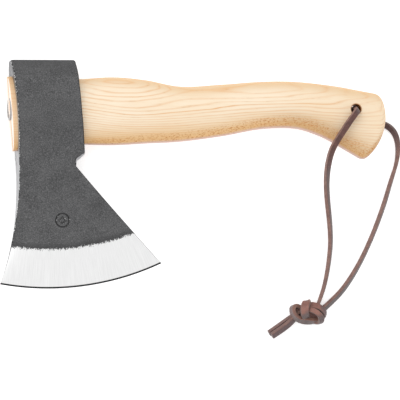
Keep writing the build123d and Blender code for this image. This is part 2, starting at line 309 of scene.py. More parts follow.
def shade(mesh):
    """Outward faces, smooth shading, and sharp edges where it bends a lot."""
    shape = bmesh.new()
    shape.from_mesh(mesh)
    bmesh.ops.recalc_face_normals(shape, faces=shape.faces)
    shape.to_mesh(mesh)
    shape.free()
    mesh.polygons.foreach_set("use_smooth", [True] * len(mesh.polygons))
    mesh.set_sharp_from_angle(angle=radians(SHARP_ANGLE))


def band(low, high, count):
    """Faces between two rings of points, from the numbers of their first points."""
    return [(low + i, low + (i + 1) % count, high + (i + 1) % count, high + i)
            for i in range(count)]


def tube(name, rings, materials):
    """A solid through equal rings of points, closed by a point in the middle of each end."""
    rings = [np.asarray(ring) for ring in rings]
    count = len(rings[0])
    points = list(np.concatenate(rings))
    faces = []
    for row in range(len(rings) - 1):
        faces += band(row * count, (row + 1) * count, count)
    for ring, low in ((rings[0], 0), (rings[-1], (len(rings) - 1) * count)):
        tip = len(points)
        points.append(ring.mean(axis=0))
        faces += [(low + i, low + (i + 1) % count, tip) for i in range(count)]
    return mesh_object(name, points, faces, materials)


def carve(thing, cutter, how="DIFFERENCE"):
    """Cuts thing with cutter, or keeps what they share, and removes the cutter."""
    modifier = thing.modifiers.new("carve", "BOOLEAN")
    modifier.operation, modifier.object, modifier.solver = how, cutter, "EXACT"
    depsgraph = bpy.context.evaluated_depsgraph_get()
    result = bpy.data.meshes.new_from_object(thing.evaluated_get(depsgraph))
    thing.modifiers.clear()
    old, thing.data = thing.data, result
    bpy.data.meshes.remove(old)
    shade(result)
    bpy.data.objects.remove(cutter)
    return thing


# --- materials ---

def colour(code):
    """Linear colour of an sRGB code such as "#c0ffee"."""
    parts = [int(code[i:i + 2], 16) / 255 for i in (1, 3, 5)]
    return (*[p / 12.92 if p <= 0.04045 else ((p + 0.055) / 1.055) ** 2.4 for p in parts], 1)


def blend(first, second, share):
    """Linear colour between those of two sRGB codes."""
    return tuple(a + (b - a) * share for a, b in zip(colour(first), colour(second)))


class Surface:
    """A material with one principled shader, and a short call for each kind of node."""

    def __init__(self, name, roughness=0.5, metallic=0.0, specular=0.5):
        self.material = bpy.data.materials.new(name)
        self.material.use_nodes = True
        self.tree = self.material.node_tree
        self.shader = self.tree.nodes["Principled BSDF"]
        for socket, value in (("Roughness", roughness), ("Metallic", metallic),
                              ("Specular IOR Level", specular)):
            self.shader.inputs[socket].default_value = value
        coordinates = self.tree.nodes.new("ShaderNodeTexCoord")
        self.place = coordinates.outputs["Object"]
        self.facing = coordinates.outputs["Normal"]

    def add(self, kind, inputs, output=0, **settings):
        node = self.tree.nodes.new(kind)
        for key, value in settings.items():
            setattr(node, key, value)
        for key, value in inputs.items():
            if isinstance(value, bpy.types.NodeSocket):
                self.tree.links.new(value, node.inputs[key])
            else:
                node.inputs[key].default_value = value
        return node.outputs[output]

    def math(self, operation, first, second=0.0):
        return self.add("ShaderNodeMath", {0: first, 1: second}, operation=operation)

    def plus(self, first, second):
        return self.math("ADD", first, second)

    def minus(self, first, second):
        return self.math("SUBTRACT", first, second)

    def times(self, first, second):
        return self.math("MULTIPLY", first, second)

    def size(self, value):
        return self.math("ABSOLUTE", value)

    def split(self, vector):
        return [self.add("ShaderNodeSeparateXYZ", {0: vector}, output=i) for i in range(3)]

    def join(self, x, y, z):
        return self.add("ShaderNodeCombineXYZ", {0: x, 1: y, 2: z})

    def streaks(self, squash, scale, detail=2.0, roughness=0.5):
        """Noise drawn out along X, by squashing the place's X."""
        place = self.add("ShaderNodeVectorMath", {0: self.place, 1: (squash, 1.0, 1.0)},
                         operation="MULTIPLY")
        return self.noise(scale, detail, roughness, place)

    def noise(self, scale, detail=2.0, roughness=0.5, place=None):
        return self.add("ShaderNodeTexNoise", {
            "Vector": self.place if place is None else place, "Scale": scale, "Detail": detail,
            "Roughness": roughness})

    def ramp(self, value, start, end, last=1.0, first=0.0):
        """Eases from first to last while value goes from start to end."""
        return self.add("ShaderNodeMapRange", {0: value, 1: start, 2: end, 3: first, 4: last},
                        interpolation_type="SMOOTHSTEP")

    def mix(self, share, first, second):
        """Between two colours, each a socket, a linear colour or an sRGB code."""
        first, second = [colour(c) if isinstance(c, str) else c for c in (first, second)]
        return self.add("ShaderNodeMix", {0: share, 6: first, 7: second}, output=2,
                        data_type="RGBA")

    def coats(self, base, *layers):
        """Lays (share, colour) layers over a base colour, one after another."""
        for share, tint in layers:
            base = self.mix(share, base, tint)
        return base

    def curve(self, value, *stops):
        """A smooth curve of value through (place, height) stops."""
        node = self.tree.nodes.new("ShaderNodeValToRGB")
        elements = node.color_ramp.elements
        while len(elements) < len(stops):
            elements.new(0.5)
        for element, (place, height) in zip(elements, stops):
            element.position, element.color = place, (height, height, height, 1)
        self.tree.links.new(value, node.inputs[0])
        return node.outputs[0]

    def distance(self, first, second, centre):
        """Distance of a place, given by two of its coordinates, from a centre."""
        first, second = self.minus(first, centre[0]), self.minus(second, centre[1])
        squares = self.plus(self.times(first, first), self.times(second, second))
        return self.math("SQRT", squares)

    def finish(self, base, roughness, metallic, height, depth):
        for name, value in (("Base Color", base), ("Roughness", roughness),
                            ("Metallic", metallic)):
            if value is not None:
                self.tree.links.new(value, self.shader.inputs[name])
        bump = self.add("ShaderNodeBump", {"Height": height, "Distance": depth})
        self.tree.links.new(bump, self.shader.inputs["Normal"])
        return self.material


def forged_steel():
    """Dark speckled cheeks, a bright ground bevel with a ragged start, a honed land painted dark as
    a reflection, painted shade by facing.
    """
    s = Surface("forged_steel")
    x, y, z = s.split(s.place)
    ahead, upward, _ = s.split(s.facing)
    radius = s.distance(x, y, EDGE_CENTRE)
    angle = s.math("ARCTAN2", s.minus(x, EDGE_CENTRE[0]), s.minus(y, EDGE_CENTRE[1]))
    arc_length = s.times(angle, EDGE_RADIUS)
    blotches = s.noise(90, 4, 0.6)
    speckle = s.noise(1300, 4, 0.85)
    worn = s.noise(1100, 2, 0.6)
    rays = s.noise(2600, 3, 0.6, s.join(arc_length, s.times(radius, 0.03), s.times(z, 0.2)))
    teeth = s.noise(900, 4, 0.65, s.join(arc_length, s.times(radius, 0.5), z))
    specks = s.noise(2300, 3, 0.7)
    border = s.plus(radius, s.ramp(teeth, 0.25, 0.75, 0.001, -0.001))
    border = s.plus(border, s.ramp(specks, 0.25, 0.75, 0.001, -0.001))
    bevel = s.ramp(border, BEVEL_RADIUS - 0.0002, BEVEL_RADIUS + 0.0002)
    above_bevel = s.ramp(radius, BEVEL_RADIUS - 0.005, BEVEL_RADIUS - 0.0005, 0.6)
    land = s.ramp(radius, EDGE_RADIUS - EDGE_LAND - 0.00015, EDGE_RADIUS - EDGE_LAND)
    mark_ring = s.size(s.minus(s.distance(x, y, MARK_CENTRE), MARK_RADIUS))
    dark = s.coats(
        s.mix(s.ramp(blotches, 0.3, 0.7), "#4a4a4b", "#585859"),
        (s.ramp(speckle, 0.48, 0.68, 0.8), "#818182"),
        (s.ramp(speckle, 0.48, 0.32, 0.8), "#252526"),
        # painted shade: darker towards the poll
        (s.ramp(y, POLL_Y - 0.0075, POLL_Y - 0.001, 0.4), "#2e2e2f"),
        # painted shade in the touch mark's ring groove
        (s.ramp(mark_ring, 0.0006, 0.0002, 0.6), "#2b2b2c"),
        # painted shade: darker on faces turned towards the poll
        (s.ramp(upward, 0.15, 0.6, 0.2), "#2c2c2d"),
        # painted shade: faces turned towards ±X are made near black
        (s.ramp(s.size(ahead), 0.15, 0.5, 0.85), "#1c1c1d"),
        (s.times(s.ramp(ahead, -0.25, -0.6), s.ramp(worn, 0.54, 0.62)), "#d6d6d6"),
        (s.times(above_bevel, s.ramp(speckle, 0.35, 0.6)), "#1d1d1e"))
    ground = s.mix(s.ramp(rays, 0.3, 0.7), "#e7e7e7", "#f0f0f0")
    base = s.coats(
        s.mix(bevel, dark, ground),
        # painted reflection: the honed land is made dark as it reflects dark surroundings
        (land, "#242425"),
        # painted shade: the bevel is darker where it faces ±X
        (s.times(s.ramp(s.size(ahead), 0.2, 0.5, 0.8), bevel), "#39393a"))
    rough = s.add("ShaderNodeMix", {0: bevel, 2: 0.62, 3: 0.4})
    metal = s.add("ShaderNodeMix", {0: bevel, 2: 0.35, 3: 0.55})
    grit = s.plus(s.times(speckle, s.minus(1.0, bevel)), s.times(s.times(rays, 0.08), bevel))
    return s.finish(base, rough, metal, grit, 0.0001)


def ground_steel():
    """The sides of the head: grey ground metal with streaks, darker in patches towards the poll,
    and painted light past the neck.
    """
    s = Surface("ground_steel", metallic=0.9)
    x, y, z = s.split(s.place)
    streaks = s.noise(1400, 3, 0.6, s.join(x, s.times(y, 0.06), z))
    patches = s.noise(260, 4, 0.6)
    # darker in patches towards the poll
    scale = s.times(s.ramp(y, 0.045, 0.06, 0.9), s.ramp(patches, 0.3, 0.55, 1, 0.4))
    base = s.coats(
        s.mix(s.ramp(streaks, 0.3, 0.7), "#8c8c8e", "#b4b4b6"),
        (s.ramp(patches, 0.52, 0.68, 0.5), "#626265"),
        (scale, "#4d4d50"),
        # painted light: the walls past the neck get a flat grey for how they are lit
        (s.ramp(x, NECK[0] + 0.012, NECK[0] + 0.02, 0.75), "#a2a2a5"))
    return s.finish(base, s.ramp(streaks, 0.3, 0.7, 0.5, 0.34), None, streaks, 0.00004)


def ash_wood(name, pith, ring_width, pale, warm, end_tint, bend=None, hole=None):
    """Growth rings about a pith line that follows the haft's bend, pores underneath, and painted
    light and shade.
    """
    s = Surface(name, roughness=0.42)
    x, y, z = s.split(s.place)
    ahead, upward, outward = s.split(s.facing)
    level = y
    if bend is not None:
        along = s.add("ShaderNodeMapRange", {0: x, 1: HAFT_ENDS[0], 2: HAFT_ENDS[1]})
        level = s.minus(y, s.times(s.curve(along, *bend), CENTIMETRE))
    radius = s.distance(level, z, pith)
    radius = s.plus(radius, s.ramp(s.streaks(0.16, 42), 0.2, 0.8, 0.0012, -0.0012))
    radius = s.plus(radius, s.ramp(s.streaks(0.1, 190), 0.2, 0.8, 0.0003, -0.0003))
    rings = s.math("DIVIDE", radius, ring_width)
    band = s.curve(s.math("FRACT", rings), (0.0, 0.55), (0.14, 0.1), (0.45, 0.02), (0.74, 0.16),
                   (0.91, 1.0), (1.0, 0.55))
    pick = s.add("ShaderNodeTexWhiteNoise", {1: s.math("FLOOR", rings)}, noise_dimensions="1D")
    strength = s.times(s.ramp(pick, 0, 1, 1, 0.45),
                       s.ramp(s.streaks(0.22, 110), 0.3, 0.7, 1, 0.45))
    grain = s.times(s.times(band, strength), s.ramp(upward, 0.05, 0.35, 0.6, 1))
    fibres = s.streaks(0.03, 1500, 2, 0.6)
    dashes = s.ramp(s.streaks(0.07, 2300, 1), 0.6, 0.7)
    turned = s.minus(upward, s.times(x, 1.6))
    under = s.times(s.ramp(turned, -0.36, -0.66), s.ramp(outward, 0.25, 0.5))
    dots = s.times(s.ramp(s.streaks(0.45, 1500, 2, 0.7), 0.52, 0.62), under)
    end_grain = s.ramp(s.size(ahead), 0.7, 0.9, 0.95)
    base = s.coats(
        # painted highlight: faces turned up are paler, the sides warmer
        s.mix(s.ramp(outward, 0.45, 0.93, 0, 1), pale, blend(pale, warm, 0.42)),
        # painted shade: faces turned towards -Y are warmer and darker
        (s.ramp(upward, -0.05, -0.75, 0.85), warm),
        (s.ramp(x, 0.04, 0.105, 0.2), blend(pale, warm, 0.8)),
        # painted shade: the knob's faces turned towards -Y are darker
        (s.times(s.ramp(x, 0.03, 0.08), s.ramp(upward, 0, -0.5, 0.4)), "#a8865a"),
        # painted shade: faces turned towards +Y are darker tan
        (s.ramp(upward, 0.2, 0.85, 0.6), "#d3ad7c"),
        # painted reflection: pink rim along the silhouette on the +Y side
        (s.times(s.ramp(outward, 0.4, 0.05, 0.7), s.ramp(upward, 0, 0.3)), "#c49a8a"),
        (s.ramp(s.streaks(0.4, 60), 0.35, 0.7, 0.14), warm),
        (grain, "#e09f59"),
        (s.ramp(fibres, 0.4, 0.75, 0.16), warm),
        (s.times(dashes, s.times(band, 0.35)), "#b98a55"),
        (s.times(dots, 0.9), "#c07426"),
        # painted reflection: lilac rim along the silhouette on the -Y side
        (s.times(s.ramp(outward, 0.66, 0.3, 0.75), s.ramp(upward, 0, -0.3)), "#ccb0b0"),
        (s.times(s.ramp(x, -0.1105, -0.113), 0.6), "#e9b984"),
        (s.times(end_grain, s.ramp(x, 0, -0.05)), end_tint))
    if hole is not None:
        rim = s.distance(x, y, hole)
        # painted shade inside the lanyard hole and round its rim
        base = s.mix(s.ramp(rim, HOLE_RADIUS + 0.001, HOLE_RADIUS + 0.0001), base, "#a5672c")
    height = s.minus(s.times(fibres, 0.4), s.times(s.plus(dots, grain), 0.25))
    return s.finish(base, s.ramp(fibres, 0.3, 0.7, 0.5, 0.38), None, height, 0.00003)


def leather(name, light, deep, fibre, pale_left_reflection=0.0, tail_shade=0.0, depth=0.0):
    """Smooth lace leather with fine pores and pale scuffs where it is rubbed, paler where it is
    cut.

    The last numbers say how strongly the pores are tinted, the sides towards -X get a painted
    pale reflection, the tails beyond the knot get painted shade, and the knot's upward faces get a
    painted highlight and its low hollows painted shade.
    """
    s = Surface(name)
    x, y, z = s.split(s.place)
    ahead, upward, outward = s.split(s.facing)
    patches = s.noise(340, 3, 0.6)
    pores = s.noise(3200, 2, 0.65)
    scuffs = s.noise(900, 3, 0.7)
    reach = s.distance(x, y, KNOT_CENTRE)
    # painted shade with a cold grey reflection on faces turned towards -Y
    low = s.times(s.ramp(upward, -0.15, -0.5, 0.85), s.ramp(y, -0.045, -0.065))
    # painted shade where the lace runs under the haft
    painted_shade_under_haft = s.times(s.ramp(y, 0.012, 0.028), s.ramp(z, 0.012, 0.004, 0.6))
    base = s.coats(
        s.mix(s.ramp(patches, 0.3, 0.7), deep, light),
        # painted highlight on upward faces, strongest on the knot
        (s.ramp(outward, 0.8, 1, depth), "#a8776a"),
        # painted shade: lower in the knot is darker, standing in for its hollows' occlusion
        (s.ramp(z, 0.0065, 0.0025, depth), "#38262a"),
        # painted grey shade on faces turned towards -Y
        (low, "#5b5657"),
        # painted shade: faces turned towards +X turn dark grey
        (s.ramp(ahead, 0.25, 0.6, 0.5), "#5b5657"),
        # painted reflection: faces turned towards -X turn pale grey
        (s.ramp(ahead, -0.3, -0.75, pale_left_reflection), "#918481"),
        # painted shade on the tails beyond the knot
        (s.ramp(reach, 0.0085, 0.012, tail_shade), "#574244"),
        # painted shade under the haft
        (painted_shade_under_haft, "#33282a"),
        (s.ramp(pores, 0.45, 0.75, fibre), "#a58077"),
        (s.ramp(pores, 0.45, 0.25, 0.6), "#2e1d1a"),
        (s.ramp(scuffs, 0.58, 0.72, 0.4), "#a0705f"))
    return s.finish(base, s.ramp(patches, 0.3, 0.7, 0.56, 0.42), None, pores, 0.0001)


def turned_steel():
    """The ring wedge: fine turning lines about its axis, and grime in patches."""
    s = Surface("turned_steel", metallic=1.0)
    x, y, z = s.split(s.place)
    radius = s.distance(y, z, (RING_Y, MID_Z))
    lines = s.noise(5200, 2, place=s.join(radius, x, 0))
    patches = s.noise(500, 3)
    base = s.coats(
        s.mix(s.ramp(lines, 0.35, 0.65), "#8d8d8f", "#c4c4c5"),
        (s.ramp(patches, 0.55, 0.7, 0.5), "#5c5a59"))
    return s.finish(base, s.ramp(patches, 0.3, 0.7, 0.45, 0.28), None, lines, 0.00003)


# --- axe head ---

def head_outline(step):
    """The head's outline seen from the side, and the rounding of its edge at each point."""
    poll_left, poll_right = [(x, POLL_Y) for x in POLL_X]
    toe, heel = [(x, EDGE_CENTRE[1] - (EDGE_RADIUS**2 - (x - EDGE_CENTRE[0])**2) ** 0.5)
                 for x in (TOE_X, HEEL_X)]
    lowest = (EDGE_CENTRE[0], EDGE_CENTRE[1] - EDGE_RADIUS)
    left_start, left_middle, left_end = corner(EYE_SIDE_MIDDLE, poll_left, poll_right)
    right_start, right_middle, right_end = corner(poll_left, poll_right, LUG_TIP)
    # points of each stretch, and the rounding of its edge at its two ends
    stretches = (
        (line(left_end, right_start, step), 0.0, 0.0),
        (arc(right_start, right_middle, right_end, step / 3), 0.0004, 0.0004),
        (line(right_end, LUG_TIP, step), 0.0007, 0.0009),
        (arc(LUG_TIP, LUG_UNDERSIDE, LUG_HOLLOW, step / 2), 0.0024, 0.003),
        (arc(LUG_HOLLOW, ABOVE_THROAT, THROAT, step / 2), 0.0028, 0.0006),
        (arc(THROAT, BEARD_MIDDLE, heel, step), 0.0004, 0.0006),
        (arc(heel, lowest, toe, step), 0.0, 0.0),
        (arc(toe, TOE_SIDE_MIDDLE, NECK, step), 0.0006, 0.0006),
        (arc(NECK, EYE_SIDE_MIDDLE, left_start, step), 0.0009, 0.0009),
        (arc(left_start, left_middle, left_end, step / 3), 0.0004, 0.0004),
    )
    points = np.concatenate([points for points, _, _ in stretches])
    rounding = np.concatenate([np.linspace(first, last, len(points))
                               for points, first, last in stretches])
    spread = np.array([0.25, 0.5, 0.25])
    for _ in range(3):
        rounding = np.convolve(np.concatenate([rounding[-1:], rounding, rounding[:1]]), spread,
                               mode="valid")
    return points, rounding


def staggered_grid(spacing, low, high):
    """Points in staggered rows between two corners."""
    rows = np.arange(low[1], high[1], spacing * ROW_HEIGHT)
    return np.array([(x, y) for row, y in enumerate(rows)
                     for x in np.arange(low[0] + (row % 2) * spacing / 2, high[0], spacing)])


def mark_groove(x, y):
    """Depth, from 0 to 1, of the touch mark's ring and diamond."""
    dx, dy = x - MARK_CENTRE[0], y - MARK_CENTRE[1]
    ring = np.abs(np.hypot(dx, dy) - MARK_RADIUS)
    diamond = np.abs(np.abs(dx) + np.abs(dy) - MARK_DIAMOND) * 0.7
    return 1 - ease(np.minimum(ring, diamond), *MARK_LINE)


def half_thickness(x, y):
    """Half thickness of the head, before its edges are rounded."""
    radius = np.hypot(x - EDGE_CENTRE[0], y - EDGE_CENTRE[1])
    half = smooth(radius, BLADE_RADII, BLADE_HALF)
    bevel = np.interp(radius, (BEVEL_RADIUS, EDGE_RADIUS - EDGE_LAND, EDGE_RADIUS),
                      (BLADE_HALF[-1], EDGE_HALF, 0.00003))
    half = np.where(radius > BEVEL_RADIUS, bevel, half)
    taper = np.interp(y, POLL_TAPER_Y, (CHEEK_HALF, POLL_HALF))
    turn = np.clip((y - POLL_Y) / POLL_EDGE[0] + 1, 0, 1)
    poll = taper - POLL_EDGE[1] * turn**1.6
    return np.minimum(half, poll)


def build_head(forged, ground):
    """Both cheeks as fine height fields on one outline, joined by side walls."""
    outline, rounding = head_outline(OUTLINE_STEP)
    count = len(outline)
    ahead, behind = np.roll(outline, -1, axis=0), np.roll(outline, 1, axis=0)
    way = ahead - behind
    inward = np.stack([way[:, 1], -way[:, 0]], axis=1)
    inward /= np.linalg.norm(inward, axis=1)[:, None]
    reach = np.maximum(rounding, LEAST_ROUNDING)
    rings = [outline] + [outline + inward * (reach * share)[:, None]
                         for share in (0.04, 0.16, 0.36, 0.64, 1.0)]

    mark = np.array(MARK_CENTRE)
    cheek = staggered_grid(CHEEK_SPACING, (TOE_X, -0.075), (HEEL_X, POLL_Y))
    fine = staggered_grid(MARK_SPACING, mark - MARK_REACH, mark + MARK_REACH)
    cheek = cheek[np.hypot(*(cheek - mark).T) >= MARK_REACH]
    fine = fine[np.hypot(*(fine - mark).T) < MARK_REACH]
    grid = np.concatenate([cheek, fine])
    distance, nearest = outline_distance(grid, outline)
    grid = grid[distance > reach[nearest] + LEAST_ROUNDING]

    flat = [Vector(p) for p in np.concatenate(rings + [grid])]
    flat, _, triangles, origins, _, _ = delaunay_2d_cdt(flat, [], [list(range(count))], 1, 1e-7)
    places = np.array([tuple(p) for p in flat])
    rim = {}
    for i, sources in enumerate(origins):
        for source in sources:
            if source < count:
                rim[source] = i
    rim = [rim[i] for i in range(count)]

    x, y = places.T
    distance, nearest = outline_distance(places, outline)
    half = half_thickness(x, y)
    toe_side = (x < EDGE_CENTRE[0]) * ease(-y, -TOE_SIDE_Y[0], -TOE_SIDE_Y[1])
    half *= 1 - TOE_SIDE_THINNING * toe_side * np.exp(-distance / TOE_SIDE_WIDTH)
    radius = np.hypot(x - EDGE_CENTRE[0], y - EDGE_CENTRE[1])
    rough = np.array([0.5 + sum(noise.noise((px * scale, py * scale, SEED)) * strength
                                for scale, strength in FORGING_SCALES) for px, py in places])
    half -= FORGING_DEPTH * np.clip(rough, 0, 1.2) * (1 - ease(radius, 0.14, BEVEL_RADIUS))
    size = np.minimum(rounding[nearest], half * 0.7)
    inside = np.clip(size - distance, 0, None)
    steep = np.interp(rounding[nearest], (0.001, 0.0024), (1.0, LUG_STEEPNESS))
    top = half - steep * (size - np.sqrt(np.clip(size**2 - inside**2, 0, None)))
    under = top.copy()
    top -= MARK_DEPTH * mark_groove(x, y)

    points = [(px, py, MID_Z + t) for (px, py), t in zip(places, top)]
    points += [(px, py, MID_Z - t) for (px, py), t in zip(places, under)]
    shift = len(places)
    faces = [tuple(t) for t in triangles] + [tuple(shift + i for i in reversed(t))
                                             for t in triangles]
    cheek_faces = len(faces)
    walls = [rim]
    for row in range(1, WALL_ROWS):
        share = row / WALL_ROWS
        walls.append(list(range(len(points), len(points) + count)))
        points += [(outline[i][0], outline[i][1],
                    MID_Z + top[rim[i]] * (1 - share) - under[rim[i]] * share)
                   for i in range(count)]
    walls.append([shift + i for i in rim])
    for upper, lower in zip(walls, walls[1:]):
        for i in range(count):
            j = (i + 1) % count
            faces.append((upper[i], lower[i], lower[j], upper[j]))
    facet = (rounding[nearest] > GROUND_ROUNDING) & (distance < rounding[nearest] * 0.9)
    kinds = [int(all(facet[i % shift] for i in face)) for face in faces[:cheek_faces]]
    kinds += [1] * (len(faces) - cheek_faces)
    head = mesh_object("axe_head_forged", points, faces, [forged, ground], kinds)
    cutter = eye_solid("eye_cutter", 0.0, EYE_BOTTOM[0] + CUTTER_OVERSHOOT[1])
    for material in (forged, ground):
        cutter.data.materials.append(material)
    cutter.data.polygons.foreach_set("material_index", [1] * len(cutter.data.polygons))
    return carve(head, cutter)


def outline_distance(places, outline):
    """Distance of each place from the outline, and the outline point nearest to it."""
    starts, ends = outline, np.roll(outline, -1, axis=0)
    runs = ends - starts
    squares = (runs**2).sum(axis=1)
    distances, nearest = [], []
    for chunk in np.array_split(places, max(1, len(places) // 2000)):
        offset = chunk[:, None] - starts[None]
        share = np.clip((offset * runs).sum(axis=2) / squares, 0, 1)
        gap = np.linalg.norm(offset - share[..., None] * runs, axis=2)
        best = gap.argmin(axis=1)
        distances.append(gap.min(axis=1))
        nearest.append((best + np.rint(share[np.arange(len(chunk)), best]).astype(int))
                       % len(outline))
    return np.concatenate(distances), np.concatenate(nearest)


# --- haft and wedges ---

def eye_at(x):
    """Centre y, half height and half width of the tapered oval at x."""
    share = (x - EYE_TOP[0]) / (EYE_BOTTOM[0] - EYE_TOP[0])
    return [top + share * (bottom - top) for top, bottom in zip(EYE_TOP[1:], EYE_BOTTOM[1:])]


def eye_solid(name, margin, end):
    """The tapered oval as a closed solid, smaller than the eye by the margin."""
    rings = []
    for x in np.linspace(EYE_TOP[0] - CUTTER_OVERSHOOT[0], end, 24):
        centre, height, width = eye_at(x)
        rings.append([(x, centre + (height - margin) * cos(a), MID_Z + (width - margin) * sin(a))
                      for a in np.arange(OVAL_POINTS) * 2 * pi / OVAL_POINTS])
    return tube(name, rings, [])


def tongue_end_x(y):
    """X of the tongue's end, which is cut parallel to the head's eye-top side."""
    return NECK[0] - TONGUE_PROTRUSION - (y - NECK[1]) * TONGUE_LEAN


def haft_rings():
    """Rings of points from the middle of the tongue's end to the middle of the knob's end."""
    angles = np.arange(OVAL_POINTS) * 2 * pi / OVAL_POINTS
    up, out = np.cos(angles), np.sin(angles)
    rings = []

    def tongue_ring(share, inset=0.0, back=0.0, shrink=1.0):
        x = np.full(OVAL_POINTS, EYE_TOP[0])
        for _ in range(4):
            centre, height, width = eye_at(x)
            y = centre + (height - inset) * shrink * up
            x = tongue_end_x(y) + back
        x = x + (EYE_BOTTOM[0] - x) * share
        centre, height, width = eye_at(x)
        y = centre + (height - TONGUE_CLEARANCE - inset) * shrink * up
        z = MID_Z + (width - TONGUE_CLEARANCE - inset) * shrink * out
        return np.stack([x, y, z], axis=1)

    for shrink in (0.02, 0.2, 0.4, 0.6, 0.8, 0.92):
        rings.append(tongue_ring(0, TONGUE_CHAMFER, 0.0, shrink))
    for turn in (0, 30, 60, 90):
        inset = TONGUE_CHAMFER * (1 - sin(radians(turn)))
        back = TONGUE_CHAMFER * (1 - cos(radians(turn)))
        rings.append(tongue_ring(0, inset, back))
    for share in np.linspace(0, 1, 32)[1:-1]:
        rings.append(tongue_ring(share, 0.0, TONGUE_CHAMFER))

    table = np.array([(*top, *bottom, half) for top, bottom, half in SECTIONS])
    knots = (table[:, 0] + table[:, 2]) / 2
    centre, end_radius = circle_through(*KNOB_END)

    def section(place, inset=0.0, shrink=1.0):
        values = smooth(place, knots, table)
        top, bottom, width = values[:, 0:2], values[:, 2:4], values[:, 4]
        middle, half = (top + bottom) / 2, (top - bottom) / 2
        length = np.linalg.norm(half, axis=1)[:, None]
        half = half / length * (length - inset) * shrink
        flat = middle + half * up[:, None]
        return np.column_stack([flat, MID_Z + (width - inset) * shrink * out])

    def reach(setback, inset=0.0, shrink=1.0):
        """Where each line along the haft meets the knob's end, less the setback."""
        places = np.linspace(knots[-4], knots[-1], 240)
        gaps = np.array([np.hypot(*(section(np.full(OVAL_POINTS, place), inset, shrink)[:, :2]
                                    - centre).T) for place in places])
        return np.array([np.interp(end_radius - setback, gap, places) for gap in gaps.T])

    last = reach(KNOB_ROUNDING)
    for share in np.linspace(0, 1, 170):
        rings.append(section(knots[0] + (last - knots[0]) * share))
    for turn in (15, 30, 45, 60, 75, 90):
        inset = KNOB_ROUNDING * (1 - cos(radians(turn)))
        back = KNOB_ROUNDING * (1 - sin(radians(turn)))
        rings.append(section(reach(back, inset), inset))
    for shrink in (0.85, 0.65, 0.45, 0.25, 0.08):
        rings.append(section(reach(0, KNOB_ROUNDING, shrink), KNOB_ROUNDING, shrink))
    return rings


def kerf_solid(name):
    """The tapered slot in the tongue that the wooden wedge fills."""
    centre, height, _ = eye_at(WEDGE_START)
    end = WEDGE_START + WEDGE_DEPTH
    rings = []
    for x in np.linspace(WEDGE_START - KERF_OVERSHOOT, end, 18):
        share = (x - WEDGE_START) / WEDGE_DEPTH
        half = (WEDGE_THICK + (WEDGE_THIN - WEDGE_THICK) * share) / 2
        reach = height + KERF_OVERSHOOT
        sides = [(reach, half), (-reach, half), (-reach, -half), (reach, -half)]
        ring = []
        for (y0, z0), (y1, z1) in zip(sides, sides[1:] + sides[:1]):
            steps = 24 if y0 != y1 else 2
            ring += [(x, centre + y0 + (y1 - y0) * i / steps, MID_Z + z0 + (z1 - z0) * i / steps)
                     for i in range(steps)]
        rings.append(ring)
    return tube(name, rings, [])


def ring_solid(name, materials, grow=0.0):
    """The ring wedge, or the space that it takes up."""
    inner = RING_RADIUS - RING_WALL - grow
    outer_start, outer_end = RING_RADIUS + grow, RING_RADIUS - RING_TAPER + grow
    depth = RING_END - RING_START
    profile = [(0, inner + RING_LIP), (0, outer_start - RING_LIP), (RING_LIP, outer_start),
               (depth, outer_end), (depth, outer_end - RING_FOOT), (RING_LIP, inner)]
    angles = np.arange(RING_POINTS) * 2 * pi / RING_POINTS
    points = [(RING_START + along, RING_Y + radius * cos(a), MID_Z + radius * sin(a))
              for along, radius in profile for a in angles]
    faces = []
    for row in range(len(profile)):
        faces += band(row * RING_POINTS, (row + 1) % len(profile) * RING_POINTS, RING_POINTS)
    return mesh_object(name, points, faces, materials)


def hole_solid():
    """The space of the lanyard hole."""
    profile = [(-height, radius) for height, radius in reversed(HOLE_PROFILE)]
    angles = [2 * pi * i / HOLE_POINTS for i in range(HOLE_POINTS)]
    rings = [[(HOLE[0] + radius * cos(a), HOLE[1] + radius * sin(a), MID_Z + height)
              for a in angles] for height, radius in (*profile, *HOLE_PROFILE)]
    return tube("hole_cutter", rings, [])


def build_haft(wood):
    haft = tube("haft_ash", haft_rings(), [wood])
    carve(haft, kerf_solid("kerf_cutter"))
    carve(haft, ring_solid("ring_cutter", [], RING_CLEARANCE))
    return carve(haft, hole_solid())


def build_wooden_wedge(wood):
    """The wedge stands a little proud of the tongue, as it does after driving."""
    wedge = kerf_solid("wooden_wedge_ash")
    wedge.data.materials.append(wood)
    carve(wedge, eye_solid("oval", 0.0001, EYE_BOTTOM[0]), "INTERSECT")
    shape = bmesh.new()
    shape.from_mesh(wedge.data)
    plane_normal = Vector((-1, -TONGUE_LEAN, 0)).normalized()
    plane_point = Vector((tongue_end_x(0.04) - WEDGE_PROUD, 0.04, MID_Z))
    cut = bmesh.ops.bisect_plane(shape, geom=shape.verts[:] + shape.edges[:] + shape.faces[:],
                                 plane_co=plane_point, plane_no=plane_normal, clear_outer=True)
    rim = [e for e in cut["geom_cut"] if isinstance(e, bmesh.types.BMEdge)]
    bmesh.ops.holes_fill(shape, edges=rim, sides=0)
    shape.to_mesh(wedge.data)
    shape.free()
    return carve(wedge, ring_solid("ring_cutter", [], RING_CLEARANCE))


# --- lace ---

def spline_points(name, points):
    """Points along the NURBS spline that has the given control points."""
    curve = bpy.data.curves.new(name, "CURVE")
    curve.dimensions, curve.resolution_u = "3D", 16
    spline = curve.splines.new("NURBS")
    spline.points.add(len(points) - 1)
    for point, place in zip(spline.points, points):
        point.co = (*place, 1)
    spline.order_u = 3
    spline.use_endpoint_u = True
    carrier = bpy.data.objects.new(name, curve)
    mesh = bpy.data.meshes.new_from_object(carrier)
    path = np.array([tuple(v.co) for v in mesh.vertices])
    bpy.data.objects.remove(carrier)
    bpy.data.curves.remove(curve)
    bpy.data.meshes.remove(mesh)
    return path


